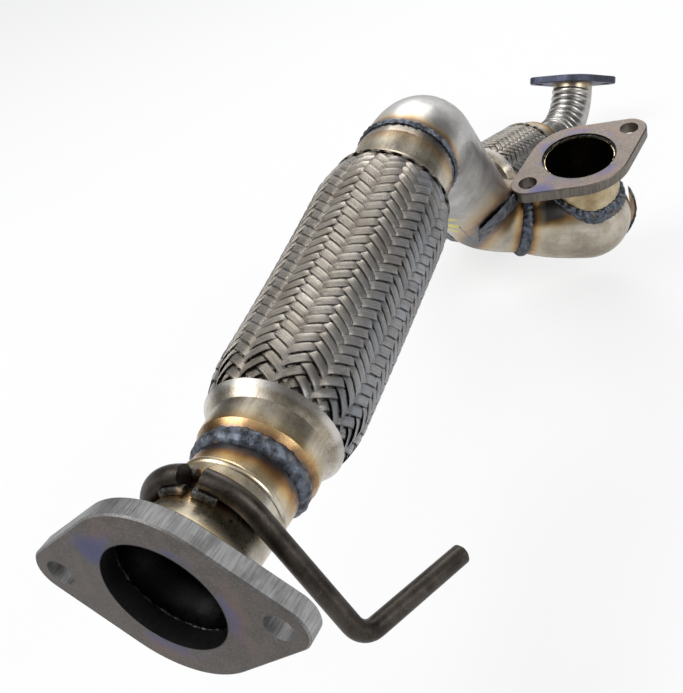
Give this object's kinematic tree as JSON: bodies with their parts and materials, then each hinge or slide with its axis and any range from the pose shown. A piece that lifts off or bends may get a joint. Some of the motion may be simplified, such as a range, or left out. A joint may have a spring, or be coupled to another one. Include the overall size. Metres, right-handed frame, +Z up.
{
  "type": "intermediate exhaust pipe",
  "caption": "Y-shaped exhaust pipe with two inlets and one outlet, bolted flanges, braided flex couplings, a stamped collector and a bent hanger rod.",
  "frame": {"origin": "centre of the outlet bore on the outlet flange's face", "axes": "the outlet faces -Y, the outlet's bolt line lies along X, +Z is up as the pipe hangs under a car"},
  "size_m": [0.2136, 0.83, 0.2503],
  "materials": {
    "flange_steel": "scaled, blued near the bores",
    "pipe_steel": "drawn, slightly tinted",
    "heat_tinted_steel": "straw heat tint",
    "braid_steel": "woven wire",
    "bellows_steel": "bright",
    "rod_steel": "dark mill scale",
    "weld_steel": "rough bead"
  },
  "bodies": {
    "root": {"outlet_flange": "flange_steel", "inlet_flange": "flange_steel", "rear_flange": "flange_steel", "main_elbow_pipe": "pipe_steel", "collector_elbow": "pipe_steel", "rear_branch_pipe": "pipe_steel", "wrinkle_pipe": "pipe_steel", "outlet_neck": "heat_tinted_steel", "inlet_neck": "heat_tinted_steel", "inlet_pot_rear_shell": "heat_tinted_steel", "inlet_pot_front_shell": "heat_tinted_steel", "main_flex_outlet_cap": "heat_tinted_steel", "main_flex_inlet_cap": "heat_tinted_steel", "rear_flex_front_cap": "heat_tinted_steel", "rear_flex_rear_cap": "heat_tinted_steel", "main_flex_braid": "braid_steel", "rear_flex_braid": "braid_steel", "main_flex_bellows": "bellows_steel", "rear_flex_bellows": "bellows_steel", "main_flex_liner": "bellows_steel", "rear_flex_liner": "bellows_steel", "hanger_rod": "rod_steel", "hanger_saddle": "rod_steel", "outlet_flange_weld": "weld_steel", "outlet_ring_weld": "weld_steel", "hanger_welds": "weld_steel", "elbow_ring_weld": "weld_steel", "collector_seam_weld": "weld_steel", "rear_branch_saddle_weld": "weld_steel", "inlet_pot_seam_weld": "weld_steel", "collector_ring_weld": "weld_steel", "inlet_neck_weld": "weld_steel", "inlet_flange_weld": "weld_steel", "rear_branch_ring_weld": "weld_steel", "rear_pipe_ring_weld": "weld_steel", "rear_flange_weld": "weld_steel"}
  },
  "joints": []
}
